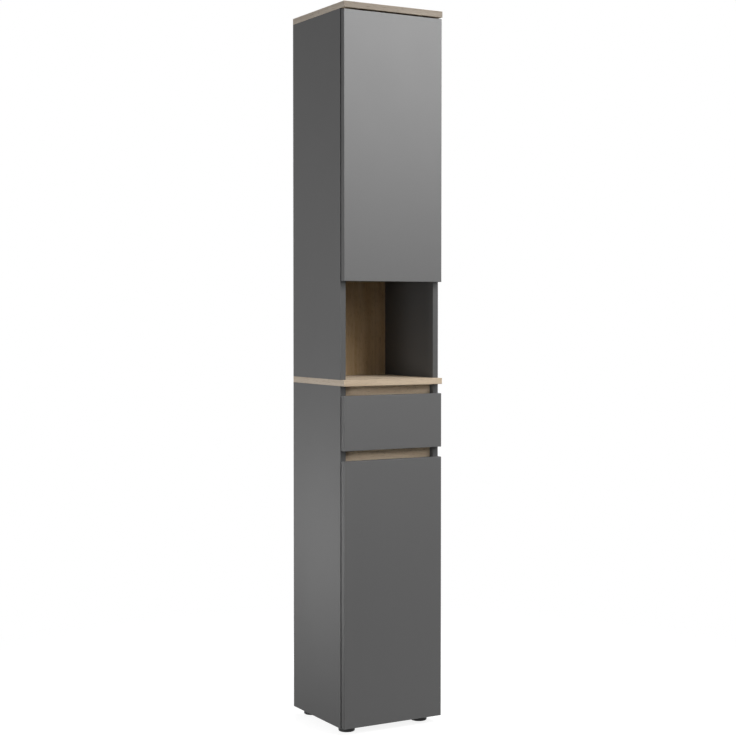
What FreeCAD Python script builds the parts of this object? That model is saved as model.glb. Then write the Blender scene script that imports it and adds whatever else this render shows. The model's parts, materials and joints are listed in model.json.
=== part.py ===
import FreeCAD, Part
import math
import os

V = FreeCAD.Vector

# Tall bathroom cabinet, millimetres. Front faces -Y, +Z is up, origin under the middle of the footprint.

# Outer sizes, from the floor upwards
body_width = 300.0
carcass_depth = 271.0
board_thickness = 16.0
front_thickness = 16.0
front_gap = 3.0
board_overhang = 2.0
foot_height = 17.0
bottom_reveal = 2.0
end_reveal = 4.0
side_reveal = 1.0
door_height = 702.0
lower_grip_height = 27.0
drawer_front_height = 144.0
upper_grip_height = 25.0
niche_height = 258.0
edge_radius = 1.0

# Inner layout
door_lip = 14.0
strip_recess = 16.0
strip_thickness = 16.0
strip_cover = 15.0
strip_lap = 8.0
divider_drop = 18.0
back_thickness = 3.0
back_inset = 12.0
back_groove_depth = 7.0
back_clearance = 0.2
shelf_setback = 12.0
shelf_side_clearance = 1.0
upper_shelf_count = 2
lower_shelf_count = 1

# Shelf pins
pin_diameter = 5.0
pin_collar_diameter = 8.0
pin_collar_length = 1.5
pin_depth = 9.0
pin_reach = 8.0
pin_inset = 37.0
pin_row_pitch = 32.0
pin_row_extra = 1

# Joinery
cam_diameter = 15.0
cam_depth = 12.0
cam_offset = 34.0
cam_bolt_diameter = 6.0
cam_bolt_overrun = 3.0
thread_diameter = 5.0
thread_depth = 11.0
dowel_diameter = 8.0
dowel_shallow = 10.0
dowel_deep = 20.0
joint_inset = 40.0
dowel_spacing = 32.0
niche_dowel_inset = 20.0
niche_dowel_spacing = 84.0
wood_clearance = 0.1
hole_overrun = 0.5

# Feet
foot_diameter = 44.0
foot_chamfer = 1.5
foot_side_inset = 38.0
foot_end_inset = 36.0
foot_joint_gap = 6.5
foot_screw_diameter = 4.0
foot_screw_head = 8.0
foot_screw_head_height = 3.0
foot_screw_recess = 6.0
foot_screw_length = 20.0

# Wall brackets
bracket_side_gap = 24.0
bracket_width = 40.0
bracket_leg = 36.0
bracket_drop = 40.0
bracket_thickness = 2.0
wall_hole_diameter = 5.5
wall_hole_drop = 24.0
bracket_screw_diameter = 4.0
bracket_screw_head = 7.0
bracket_screw_head_height = 2.0
bracket_screw_length = 14.0
bracket_screw_spacing = 22.0

# Door hinges: single-joint cup hinges at the right edge
hinge_end_inset = 100.0
pivot_edge_inset = 7.5
pivot_cover = 6.5
cup_diameter = 35.0
cup_edge = 3.0
cup_wall = 1.0
cup_floor_gap = 0.3
flange_thickness = 1.0
flange_lip = 1.5
flange_ear = 24.0
flange_ear_offset = 6.0
flange_ear_radius = 5.0
hinge_pin_diameter = 2.4
pin_end_cover = 0.2
running_clearance = 0.05
arm_thickness = 2.2
arm_hook_width = 8.0
arm_width = 12.0
arm_barrel_diameter = 4.0
arm_stand_off = 4.5
arm_shoulder = 12.0
arm_length = 60.0
arm_channel_height = 7.0
arm_wall = 1.4
plate_thickness = 2.5
plate_rail_width = 9.0
plate_setback = 37.0
plate_screw_spacing = 32.0
plate_wing_width = 14.0
hinge_screw_diameter = 3.5
hinge_screw_head = 7.0
hinge_screw_head_height = 1.6
hinge_screw_length = 11.0

# Door and drawer bumpers
bumper_diameter = 8.0
bumper_clearance = 0.3
bumper_edge_inset = 9.0
bumper_end_inset = 30.0

# Drawer box
drawer_lift = 4.0
drawer_side_height = 100.0
drawer_side_thickness = 12.0
drawer_length = 250.0
drawer_bottom_thickness = 3.0
drawer_bottom_rise = 8.0
drawer_groove_depth = 6.0
runner_space = 13.0
drawer_back_drop = 10.0
drawer_screw_diameter = 4.0
drawer_screw_head = 7.0
drawer_screw_head_height = 2.5
drawer_screw_length = 32.0
drawer_screw_inset = 18.0
drawer_cam_offset = 24.0
drawer_cam_depth = 10.0

# Roller runners
runner_sheet = 1.2
runner_reach = 9.8
roller_diameter = 14.0
roller_width = 5.0
rolling_clearance = 0.3
roller_face_clearance = 0.2
rivet_diameter = 4.0
rivet_head = 6.5
rivet_head_height = 0.8
front_roller_inset = 12.0
rear_roller_inset = 10.0
runner_front_inset = 2.0
runner_length = 250.0
runner_screw_diameter = 3.5
runner_screw_head = 7.0
runner_screw_head_height = 1.2
runner_screw_length = 12.0
runner_screw_count = 3

# Levels
z_body = foot_height
z_lower_door = z_body + bottom_reveal
z_lower_door_top = z_lower_door + door_height
z_drawer_front = z_lower_door_top + lower_grip_height
z_drawer_front_top = z_drawer_front + drawer_front_height
z_worktop = z_drawer_front_top + upper_grip_height
z_worktop_top = z_worktop + board_thickness
z_upper_door = z_worktop_top + niche_height
z_upper_door_top = z_upper_door + door_height
z_top_board = z_upper_door_top + end_reveal
z_ceiling = z_upper_door + door_lip
z_ceiling_top = z_ceiling + board_thickness
z_bottom_top = z_body + board_thickness
z_lower_strip = z_lower_door_top - strip_cover
z_lower_strip_top = z_drawer_front + strip_lap
z_upper_strip = z_drawer_front_top - strip_cover
z_divider_top = z_lower_strip_top - divider_drop
z_divider = z_divider_top - board_thickness
z_drawer = z_lower_strip_top + drawer_lift

# Planes
depth = carcass_depth + front_gap + front_thickness + board_overhang
y_back = depth / 2
y_carcass = y_back - carcass_depth
y_fronts = y_carcass - front_gap
y_face = y_fronts - front_thickness
y_boards = -depth / 2
y_panel = y_back - back_inset - back_thickness
y_panel_back = y_panel + back_thickness
y_strip = y_carcass + strip_recess
y_strip_back = y_strip + strip_thickness
y_front_feet = y_carcass + foot_end_inset
y_back_feet = y_back - foot_end_inset
x_out = body_width / 2
x_in = x_out - board_thickness
x_front = x_out - side_reveal

up = V(0, 0, 1)
down = V(0, 0, -1)
forward = V(0, -1, 0)
backward = V(0, 1, 0)
rightward = V(1, 0, 0)
leftward = V(-1, 0, 0)

os.makedirs("parts", exist_ok=True)


def box(x0, x1, y0, y1, z0, z1):
    return Part.makeBox(x1 - x0, y1 - y0, z1 - z0, V(x0, y0, z0))


def rod(start, direction, diameter, length):
    return Part.makeCylinder(diameter / 2, length, start, direction)


def snug(diameter):
    # The hole that a fitting of this diameter needs in wood or sheet.
    return diameter + 2 * wood_clearance


def running(diameter):
    # The bore that turns on a shaft of this diameter.
    return diameter + 2 * running_clearance


def along(start, direction, distance):
    return V(start).add(V(direction).multiply(distance))


def fuse(shapes):
    whole = shapes[0]
    for shape in shapes[1:]:
        whole = whole.fuse(shape)
    return whole.removeSplitter()


def save(name, shapes):
    group = shapes if isinstance(shapes, list) else [shapes]
    solids = [solid for shape in group for solid in shape.Solids]
    whole = solids[0] if len(solids) == 1 else Part.makeCompound(solids)
    whole.exportStep("parts/" + name + ".step")


def screw(seat, inward, diameter, length, head, head_height):
    # The head stands on the seat and the shank runs inward from it.
    outward = V(inward).multiply(-1)
    return fuse([rod(seat, inward, diameter, length), rod(seat, outward, head, head_height)])


def soften(shape, keep):
    # Rounds the straight edges of a panel that the test keeps.
    edges = [edge for edge in shape.Edges if keep(edge)]
    return shape.makeFillet(edge_radius, edges)


def on_face(y):
    # True for edges that lie in the plane at this y.
    return lambda edge: all(abs(vertex.Point.y - y) < 1e-6 for vertex in edge.Vertexes)


cuts = {}
cam_locks = []
cam_bolts = []
dowels = []


def cut_from(name, shape):
    cuts.setdefault(name, []).append(shape)


def cam_joint(panel, partner, seat, into_panel, cam_side, thickness, offset, locks, bolts, lock_depth):
    # One cam lock in the panel pulls the bolt that is screwed into the partner.
    into_partner = V(into_panel).multiply(-1)
    into_face = V(cam_side).multiply(-1)
    centre = along(seat, into_panel, offset)
    mouth = along(centre, cam_side, thickness / 2)
    reach = offset + cam_bolt_overrun
    bore = rod(seat, into_panel, snug(cam_bolt_diameter), reach + hole_overrun)
    lock = rod(mouth, into_face, cam_diameter, lock_depth)
    locks.append(lock.cut(bore))
    bolts.append(fuse([rod(seat, into_panel, cam_bolt_diameter, reach),
                       rod(seat, into_partner, thread_diameter, thread_depth)]))
    cut_from(panel, bore)
    cut_from(panel, rod(mouth, into_face, snug(cam_diameter), lock_depth + wood_clearance))
    cut_from(partner, rod(seat, into_partner, snug(thread_diameter), thread_depth + hole_overrun))


def dowel_joint(panel, partner, seat, into_panel):
    # One dowel lines the panel up with the partner.
    into_partner = V(into_panel).multiply(-1)
    start = along(seat, into_partner, dowel_shallow)
    dowels.append(rod(start, into_panel, dowel_diameter, dowel_shallow + dowel_deep))
    cut_from(panel, rod(seat, into_panel, snug(dowel_diameter), dowel_deep + hole_overrun))
    cut_from(partner, rod(seat, into_partner, snug(dowel_diameter), dowel_shallow + hole_overrun))


# Carcass panels before their holes
panels = {}
for side, sign in (("left", -1), ("right", 1)):
    x0, x1 = sorted((sign * x_in, sign * x_out))
    groove0, groove1 = sorted((sign * x_in, sign * (x_in + back_groove_depth)))
    groove = box(groove0, groove1, y_panel - back_clearance, y_panel_back + back_clearance,
                 z_body, z_top_board)
    panels["lower_side_" + side] = box(x0, x1, y_carcass, y_back, z_body, z_worktop).cut(groove)
    panels["upper_side_" + side] = box(x0, x1, y_carcass, y_back, z_worktop_top, z_top_board).cut(groove)
panels["bottom_panel"] = box(-x_in, x_in, y_carcass, y_panel, z_body, z_bottom_top)
panels["drawer_divider"] = box(-x_in, x_in, y_strip_back, y_panel, z_divider, z_divider_top)
panels["niche_ceiling"] = box(-x_in, x_in, y_carcass, y_panel, z_ceiling, z_ceiling_top)
panels["upper_grip_strip"] = box(-x_in, x_in, y_strip, y_strip_back, z_upper_strip, z_worktop)
panels["lower_grip_strip"] = box(-x_in, x_in, y_strip, y_strip_back, z_lower_strip, z_lower_strip_top)
worktop = box(-x_out, x_out, y_boards, y_back, z_worktop, z_worktop_top)
top_board = box(-x_out, x_out, y_boards, y_back, z_top_board, z_top_board + board_thickness)
panels["worktop"] = soften(worktop, on_face(y_boards))
panels["top_board"] = soften(top_board, on_face(y_boards))

back_half = x_in + back_groove_depth - back_clearance
z_back_split = z_ceiling + board_thickness / 2
for name, z_low, z_high in (("lower_back_panel", z_body, z_worktop),
                            ("niche_back_panel", z_worktop_top, z_back_split),
                            ("upper_back_panel", z_back_split, z_top_board)):
    panels[name] = box(-back_half, back_half, y_panel, y_panel_back, z_low, z_high)

def joint_rows(y_start):
    # The y of each lock and of the dowel beside it, at the front and at the back of a panel.
    y_front = y_start + joint_inset
    y_rear = y_panel - joint_inset
    return ((y_front, y_front + dowel_spacing), (y_rear, y_rear - dowel_spacing))


# The bottom panel's dowels pass its foot screws, and its locks open downwards clear of the feet
screw_to_dowel = (foot_screw_diameter + dowel_diameter) / 2 + foot_joint_gap
foot_to_lock = (foot_diameter + cam_diameter) / 2 + foot_joint_gap
bottom_rows = ((y_front_feet + foot_to_lock, y_front_feet + screw_to_dowel),
               (y_back_feet - foot_to_lock, y_back_feet - screw_to_dowel))

# Fixed horizontal panels are held between the sides by cam locks and dowels
for panel, part, z_low, cam_up, rows in (
        ("bottom_panel", "lower_side_", z_body, -1, bottom_rows),
        ("drawer_divider", "lower_side_", z_divider, 1, joint_rows(y_strip_back)),
        ("niche_ceiling", "upper_side_", z_ceiling, 1, joint_rows(y_carcass))):
    z_seat = z_low + board_thickness / 2
    for side, sign in (("left", -1), ("right", 1)):
        inward = V(-sign, 0, 0)
        for y_lock, y_dowel in rows:
            cam_joint(panel, part + side, V(sign * x_in, y_lock, z_seat), inward, V(0, 0, cam_up),
                      board_thickness, cam_offset, cam_locks, cam_bolts, cam_depth)
            dowel_joint(panel, part + side, V(sign * x_in, y_dowel, z_seat), inward)

# The oak boards are locked onto the ends of the sides below them
for board, part, z in (("worktop", "lower_side_", z_worktop), ("top_board", "upper_side_", z_top_board)):
    for side, sign in (("left", -1), ("right", 1)):
        for y, step in ((y_carcass + joint_inset, dowel_spacing), (y_panel - joint_inset, -dowel_spacing)):
            seat = V(sign * (x_in + board_thickness / 2), y, z)
            cam_joint(part + side, board, seat, down, V(-sign, 0, 0), board_thickness,
                      cam_offset, cam_locks, cam_bolts, cam_depth)
            dowel_joint(part + side, board, seat.add(V(0, step, 0)), down)

# The upper sides stand on the worktop on dowels alone, so that the niche shows no fittings
for side, sign in (("left", -1), ("right", 1)):
    for y, step in ((y_carcass + niche_dowel_inset, 1), (y_panel - niche_dowel_inset, -1)):
        seat = V(sign * (x_in + board_thickness / 2), y, z_worktop_top)
        inner_seat = seat.add(V(0, step * niche_dowel_spacing, 0))
        dowel_joint("upper_side_" + side, "worktop", seat, up)
        dowel_joint("upper_side_" + side, "worktop", inner_seat, up)

# The grip strips are dowelled between the lower sides
for strip, z_low, z_high in (("upper_grip_strip", z_upper_strip, z_worktop),
                             ("lower_grip_strip", z_lower_strip, z_lower_strip_top)):
    for side, sign in (("left", -1), ("right", 1)):
        seat = V(sign * x_in, y_strip + strip_thickness / 2, (z_low + z_high) / 2)
        dowel_joint(strip, "lower_side_" + side, seat, V(-sign, 0, 0))

# Loose shelves on pins
shelf_half = x_in - shelf_side_clearance
shelf_pins = []
pin_rows = (y_carcass + pin_inset, y_panel - pin_inset)


def place_shelves(names, part, z_low, z_high):
    count = len(names)
    clear = (z_high - z_low - count * board_thickness) / (count + 1)
    for index, name in enumerate(names):
        z = z_low + clear + index * (clear + board_thickness)
        panels[name] = box(-shelf_half, shelf_half, y_carcass + shelf_setback, y_panel - back_clearance,
                           z, z + board_thickness)
        z_pin = z - pin_diameter / 2
        for side, sign in (("left", -1), ("right", 1)):
            for y in pin_rows:
                wall = V(sign * x_in, y, z_pin)
                inward = V(-sign, 0, 0)
                outward = V(sign, 0, 0)
                pin = rod(along(wall, outward, pin_depth), inward, pin_diameter, pin_depth + pin_reach)
                collar = rod(wall, inward, pin_collar_diameter, pin_collar_length)
                collar = collar.common(box(-x_out, x_out, y_boards, y_back, z - pin_collar_diameter, z))
                shelf_pins.append(fuse([pin, collar]))
                for row in range(-pin_row_extra, pin_row_extra + 1):
                    mouth = wall.add(V(0, 0, row * pin_row_pitch))
                    cut_from(part + side, rod(mouth, outward, snug(pin_diameter), pin_depth + hole_overrun))


upper_shelves = ["upper_shelf_%d" % (index + 1) for index in range(upper_shelf_count)]
lower_shelves = ["lower_shelf_%d" % (index + 1) for index in range(lower_shelf_count)]
place_shelves(upper_shelves, "upper_side_", z_ceiling_top, z_top_board)
place_shelves(lower_shelves, "lower_side_", z_bottom_top, z_divider)

# Feet under the bottom panel
foot_screws = []
for end, y in (("front", y_front_feet), ("back", y_back_feet)):
    for side, sign in (("left", -1), ("right", 1)):
        centre = V(sign * (x_out - foot_side_inset), y, 0)
        foot = rod(centre, up, foot_diameter, foot_height)
        rim = [edge for edge in foot.Edges if all(abs(vertex.Point.z) < 1e-6 for vertex in edge.Vertexes)]
        foot = foot.makeChamfer(foot_chamfer, rim)
        seat = centre.add(V(0, 0, foot_screw_recess))
        shank_hole = rod(seat, up, snug(foot_screw_diameter), foot_screw_length + hole_overrun)
        recess = rod(centre, up, snug(foot_screw_head), foot_screw_recess)
        save("foot_%s_%s" % (end, side), foot.cut([shank_hole, recess]))
        cut_from("bottom_panel", shank_hole)
        foot_screws.append(screw(seat, up, foot_screw_diameter, foot_screw_length,
                                 foot_screw_head, foot_screw_head_height))
save("foot_screws", foot_screws)

# Wall brackets under the top board, against the upper back panel
bracket_screws = []
for side, sign in (("left", -1), ("right", 1)):
    x = sign * (x_in - bracket_side_gap - bracket_width / 2)
    x0, x1 = x - bracket_width / 2, x + bracket_width / 2
    leg = box(x0, x1, y_panel - bracket_leg, y_panel, z_top_board - bracket_thickness, z_top_board)
    drop = box(x0, x1, y_panel - bracket_thickness, y_panel, z_top_board - bracket_drop, z_top_board)
    wall_start = V(x, y_panel - bracket_thickness, z_top_board - wall_hole_drop)
    wall_hole = rod(wall_start, backward, wall_hole_diameter, bracket_thickness + back_thickness)
    holes = [wall_hole]
    cut_from("upper_back_panel", wall_hole)
    for step in (-1, 1):
        x_screw = x + step * bracket_screw_spacing / 2
        seat = V(x_screw, y_panel - bracket_leg / 2, z_top_board - bracket_thickness)
        hole = rod(seat, up, snug(bracket_screw_diameter), bracket_screw_length + hole_overrun)
        holes.append(hole)
        cut_from("top_board", hole)
        bracket_screws.append(screw(seat, up, bracket_screw_diameter, bracket_screw_length,
                                    bracket_screw_head, bracket_screw_head_height))
    save("wall_bracket_" + side, fuse([leg, drop]).cut(holes))
save("bracket_screws", bracket_screws)

# Drawer runners, seen from the right side and mirrored for the left
x_drawer = x_in - runner_space
x_box = x_drawer - drawer_side_thickness
y_drawer_end = y_fronts + drawer_length
roller_radius = roller_diameter / 2
y_runner = y_carcass + runner_front_inset
y_front_roller = y_runner + front_roller_inset
y_rear_roller = y_drawer_end - rear_roller_inset
z_rear_roller = z_drawer + rolling_clearance + roller_radius
z_track_top = z_drawer + roller_diameter + 2 * rolling_clearance
z_rail = z_track_top + runner_sheet + 2 * rolling_clearance
z_front_roller = z_rail - rolling_clearance - roller_radius
x_web = x_drawer + runner_sheet
x_track_web = x_in - runner_sheet
x_track = x_in - runner_reach
x_roller = (x_web + x_track_web - roller_width) / 2
x_roller_end = x_roller + roller_width


def mirrored(shape, sign):
    return shape if sign > 0 else shape.mirror(V(0, 0, 0), rightward)


def axle(x_root, x_near, x_far, y, z):
    # A riveted axle: a collar at the sheet, the running part and a head past the roller.
    step = math.copysign(1, x_far - x_near)
    collar_end = x_near - step * roller_face_clearance
    head_start = x_far + step * roller_face_clearance
    direction = V(step, 0, 0)
    return fuse([rod(V(x_root, y, z), direction, rivet_head, abs(collar_end - x_root)),
                 rod(V(collar_end, y, z), direction, rivet_diameter, abs(head_start - collar_end)),
                 rod(V(head_start, y, z), direction, rivet_head, rivet_head_height)])


def roller(y, z):
    start = V(x_roller, y, z)
    wheel = rod(start, rightward, roller_diameter, roller_width)
    return wheel.cut(rod(start, rightward, running(rivet_diameter), roller_width))


drawer_screws = []
runner_screws = []
front_rollers = []
rear_rollers = []
for side, sign in (("left", -1), ("right", 1)):
    y_end = y_runner + runner_length
    y_cap = y_front_roller + roller_diameter
    z_sole = z_drawer - runner_sheet
    track = fuse([box(x_track_web, x_in, y_runner, y_end, z_sole, z_track_top + runner_sheet),
                  box(x_track, x_in, y_runner, y_end, z_sole, z_drawer),
                  box(x_track, x_in, y_cap, y_end, z_track_top, z_track_top + runner_sheet),
                  axle(x_track_web, x_roller_end, x_roller, y_front_roller, z_front_roller)])
    screw_first = y_cap + runner_screw_head
    screw_last = y_end - front_roller_inset
    for index in range(runner_screw_count):
        y = screw_first + index * (screw_last - screw_first) / (runner_screw_count - 1)
        seat = V(x_track_web, y, z_rear_roller)
        hole = rod(seat, rightward, snug(runner_screw_diameter), runner_screw_length + hole_overrun)
        track = track.cut(hole)
        cut_from("lower_side_" + side, mirrored(hole, sign))
        fixing = screw(seat, rightward, runner_screw_diameter, runner_screw_length,
                       runner_screw_head, runner_screw_head_height)
        runner_screws.append(mirrored(fixing, sign))
    save("cabinet_runner_" + side, mirrored(track, sign))

    x_lip = x_drawer + runner_reach
    rail = fuse([box(x_drawer, x_web, y_fronts, y_drawer_end, z_sole, z_rail + runner_sheet),
                 box(x_box, x_web, y_fronts, y_drawer_end, z_sole, z_drawer),
                 box(x_drawer, x_lip, y_fronts, y_drawer_end, z_rail, z_rail + runner_sheet),
                 axle(x_web, x_roller, x_roller_end, y_rear_roller, z_rear_roller)])
    for y in (y_fronts + drawer_length / 4, y_fronts + drawer_length * 3 / 4):
        seat = V(x_web, y, z_drawer + drawer_bottom_rise / 2)
        hole = rod(seat, leftward, snug(runner_screw_diameter), drawer_side_thickness - hole_overrun)
        rail = rail.cut(hole)
        cut_from("drawer_side_" + side, mirrored(hole, sign))
        length = drawer_side_thickness - 2 * hole_overrun
        fixing = screw(seat, leftward, runner_screw_diameter, length,
                       runner_screw_head, runner_screw_head_height)
        drawer_screws.append(mirrored(fixing, sign))
    save("drawer_runner_" + side, mirrored(rail, sign))
    front_rollers.append(mirrored(roller(y_front_roller, z_front_roller), sign))
    rear_rollers.append(mirrored(roller(y_rear_roller, z_rear_roller), sign))
save("front_rollers", front_rollers)
save("rear_rollers", rear_rollers)
save("runner_screws", runner_screws)

# Drawer box and its front
drawer_locks = []
drawer_bolts = []
z_drawer_top = z_drawer + drawer_side_height
z_drawer_floor = z_drawer + drawer_bottom_rise
z_drawer_floor_top = z_drawer_floor + drawer_bottom_thickness
y_drawer_back = y_drawer_end - drawer_side_thickness
floor_half = x_box + drawer_groove_depth
floor_slot = box(-floor_half, floor_half, y_fronts - drawer_groove_depth, y_drawer_end,
                 z_drawer_floor - back_clearance, z_drawer_floor_top + back_clearance)
drawer_front = box(-x_front, x_front, y_face, y_fronts, z_drawer_front, z_drawer_front_top)
panels["drawer_front"] = soften(drawer_front, on_face(y_face)).cut(floor_slot)
panels["drawer_back"] = box(-x_box, x_box, y_drawer_back, y_drawer_end,
                            z_drawer_floor_top + back_clearance, z_drawer_top - drawer_back_drop)
bottom_half = floor_half - back_clearance
y_floor = y_fronts - drawer_groove_depth + back_clearance
panels["drawer_bottom"] = box(-bottom_half, bottom_half, y_floor, y_drawer_end,
                              z_drawer_floor, z_drawer_floor_top)
drawer_bumpers = []
for side, sign in (("left", -1), ("right", 1)):
    x0, x1 = sorted((sign * x_box, sign * x_drawer))
    drawer_side = box(x0, x1, y_fronts, y_drawer_end, z_drawer, z_drawer_top)
    panels["drawer_side_" + side] = drawer_side.cut(floor_slot)
    inward = V(-sign, 0, 0)
    for z in (z_drawer_floor_top + drawer_screw_inset, z_drawer_top - drawer_back_drop - drawer_screw_inset):
        seat = V(sign * (x_box + x_drawer) / 2, y_fronts, z)
        cam_joint("drawer_side_" + side, "drawer_front", seat, backward, inward, drawer_side_thickness,
                  drawer_cam_offset, drawer_locks, drawer_bolts, drawer_cam_depth)
        outer = V(sign * x_drawer, (y_drawer_back + y_drawer_end) / 2, z)
        hole = rod(outer, inward, snug(drawer_screw_diameter), drawer_screw_length + hole_overrun)
        cut_from("drawer_side_" + side, hole)
        cut_from("drawer_back", hole)
        drawer_screws.append(screw(outer, inward, drawer_screw_diameter, drawer_screw_length,
                                   drawer_screw_head, drawer_screw_head_height))
    bumper = V(sign * (x_front - bumper_edge_inset), y_fronts, z_drawer_front_top - bumper_end_inset)
    drawer_bumpers.append(rod(bumper, backward, bumper_diameter, front_gap - bumper_clearance))
save("drawer_screws", drawer_screws)
save("drawer_cam_locks", drawer_locks)
save("drawer_cam_bolts", drawer_bolts)
save("drawer_bumpers", drawer_bumpers)

# Doors with single-joint cup hinges: u runs inward from the hinge edge, v back from the door's back face
pivot_depth = front_thickness - pivot_cover
barrel_radius = arm_barrel_diameter / 2
cup_centre = cup_edge + cup_diameter / 2
cup_depth = pivot_depth + barrel_radius + cup_floor_gap + cup_wall
cup_outer = cup_diameter - 2 * wood_clearance
cup_inner = cup_outer - 2 * cup_wall
u_side = board_thickness - side_reveal
u_arm = u_side + arm_stand_off
u_arm_top = u_arm + arm_thickness
v_hook = -pivot_depth - barrel_radius
v_plate = front_gap + plate_setback
pin_far = cup_centre - pivot_edge_inset + hinge_pin_diameter / 2
pin_half = math.sqrt((cup_outer / 2 - pin_end_cover) ** 2 - pin_far ** 2)
hinge_arms = []
hinge_plates = []
hinge_arm_screws = []
hinge_plate_screws = []


def hinge_point(u, v, z):
    return V(x_front - u, y_fronts + v, z)


def hinge_box(u0, u1, v0, v1, z0, z1):
    return box(x_front - u1, x_front - u0, y_fronts + v0, y_fronts + v1, z0, z1)


def build_hinge_arm(part, z):
    half_hook = arm_hook_width / 2
    half_arm = arm_width / 2
    pivot = hinge_point(pivot_edge_inset, -pivot_depth, z - half_hook)
    u_wall = u_arm + arm_channel_height
    hook = [rod(pivot, up, arm_barrel_diameter, arm_hook_width),
            hinge_box(pivot_edge_inset, u_arm_top, v_hook, v_hook + arm_thickness,
                      z - half_hook, z + half_hook),
            hinge_box(u_arm, u_arm_top, v_hook, arm_length, z - half_hook, z + half_hook)]
    channel = [hinge_box(u_arm, u_arm_top, arm_shoulder, arm_length, z - half_arm, z + half_arm),
               hinge_box(u_arm, u_wall, arm_shoulder, arm_length, z - half_arm, z - half_arm + arm_wall),
               hinge_box(u_arm, u_wall, arm_shoulder, arm_length, z + half_arm - arm_wall, z + half_arm)]
    bore = rod(pivot, up, running(hinge_pin_diameter), arm_hook_width)
    fixing = hinge_point(u_arm_top, v_plate, z)
    shank_hole = rod(fixing, rightward, snug(hinge_screw_diameter), arm_thickness + arm_stand_off)
    hinge_arms.append(fuse(hook + channel).cut([bore, shank_hole]))
    length = arm_thickness + arm_stand_off - hole_overrun
    hinge_arm_screws.append(screw(fixing, rightward, hinge_screw_diameter, length,
                                  hinge_screw_head, hinge_screw_head_height))

    half_rail = plate_rail_width / 2
    half_wing = plate_wing_width / 2
    half_span = plate_screw_spacing / 2 + half_wing
    plate = [hinge_box(u_side, u_arm, arm_shoulder, arm_length, z - half_rail, z + half_rail),
             hinge_box(u_side, u_side + plate_thickness, v_plate - half_wing, v_plate + half_wing,
                       z - half_span, z + half_span)]
    holes = [shank_hole]
    for step in (-1, 1):
        seat = hinge_point(u_side + plate_thickness, v_plate, z + step * plate_screw_spacing / 2)
        hole = rod(seat, rightward, snug(hinge_screw_diameter), hinge_screw_length + hole_overrun)
        holes.append(hole)
        cut_from(part, hole)
        hinge_plate_screws.append(screw(seat, rightward, hinge_screw_diameter, hinge_screw_length,
                                        hinge_screw_head, hinge_screw_head_height))
    hinge_plates.append(fuse(plate).cut(holes))


def build_hinge_cup(door, z):
    mouth = hinge_point(cup_centre, 0, z)
    rim = mouth.add(V(0, flange_thickness, 0))
    ears = [hinge_point(cup_centre + flange_ear_offset, 0, z + step * flange_ear) for step in (-1, 1)]
    ear_u = cup_centre + flange_ear_offset
    body = [rod(mouth, forward, cup_outer, cup_depth),
            rod(mouth, backward, cup_diameter + 2 * flange_lip, flange_thickness),
            hinge_box(ear_u - flange_ear_radius, ear_u + flange_ear_radius, 0, flange_thickness,
                      z - flange_ear, z + flange_ear)]
    body += [rod(ear, backward, 2 * flange_ear_radius, flange_thickness) for ear in ears]
    pivot = hinge_point(pivot_edge_inset, -pivot_depth, z - pin_half)
    seat_length = 2 * (pin_half + running_clearance)
    seat = rod(along(pivot, down, running_clearance), up, running(hinge_pin_diameter), seat_length)
    hollow = rod(rim, forward, cup_inner, cup_depth - cup_wall + flange_thickness)
    screw_holes = []
    screws = []
    for ear in ears:
        head_seat = ear.add(V(0, flange_thickness, 0))
        screw_holes.append(rod(head_seat, forward, snug(hinge_screw_diameter),
                               hinge_screw_length + hole_overrun))
        screws.append(screw(head_seat, forward, hinge_screw_diameter, hinge_screw_length,
                            hinge_screw_head, hinge_screw_head_height))
    cup = fuse(body).cut([hollow, seat] + screw_holes)
    pin = rod(pivot, up, hinge_pin_diameter, 2 * pin_half)
    cut_from(door, rod(mouth, forward, cup_diameter, cup_depth + wood_clearance))
    for hole in screw_holes:
        cut_from(door, hole)
    return cup, pin, screws


for door, part, z_low, z_high in (("lower_door", "lower_side_right", z_lower_door, z_lower_door_top),
                                  ("upper_door", "upper_side_right", z_upper_door, z_upper_door_top)):
    panels[door] = soften(box(-x_front, x_front, y_face, y_fronts, z_low, z_high), on_face(y_face))
    cups = []
    pins = []
    cup_screws = []
    for z in (z_low + hinge_end_inset, z_high - hinge_end_inset):
        build_hinge_arm(part, z)
        cup, pin, screws = build_hinge_cup(door, z)
        cups.append(cup)
        pins.append(pin)
        cup_screws += screws
    x_bumper = bumper_edge_inset - x_front
    bumper_height = front_gap - bumper_clearance
    bumpers = [rod(V(x_bumper, y_fronts, z), backward, bumper_diameter, bumper_height)
               for z in (z_low + bumper_end_inset, z_high - bumper_end_inset)]
    save(door + "_hinge_cups", cups)
    save(door + "_hinge_pins", pins)
    save(door + "_cup_screws", cup_screws)
    save(door + "_bumpers", bumpers)
save("hinge_arms", hinge_arms)
save("hinge_plates", hinge_plates)
save("hinge_arm_screws", hinge_arm_screws)
save("hinge_plate_screws", hinge_plate_screws)

# Every panel gets the holes that its fittings need
for name, panel in panels.items():
    save(name, panel.cut(cuts[name]) if name in cuts else panel)
save("cam_locks", cam_locks)
save("cam_bolts", cam_bolts)
save("dowels", dowels)
save("shelf_pins", shelf_pins)
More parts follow.
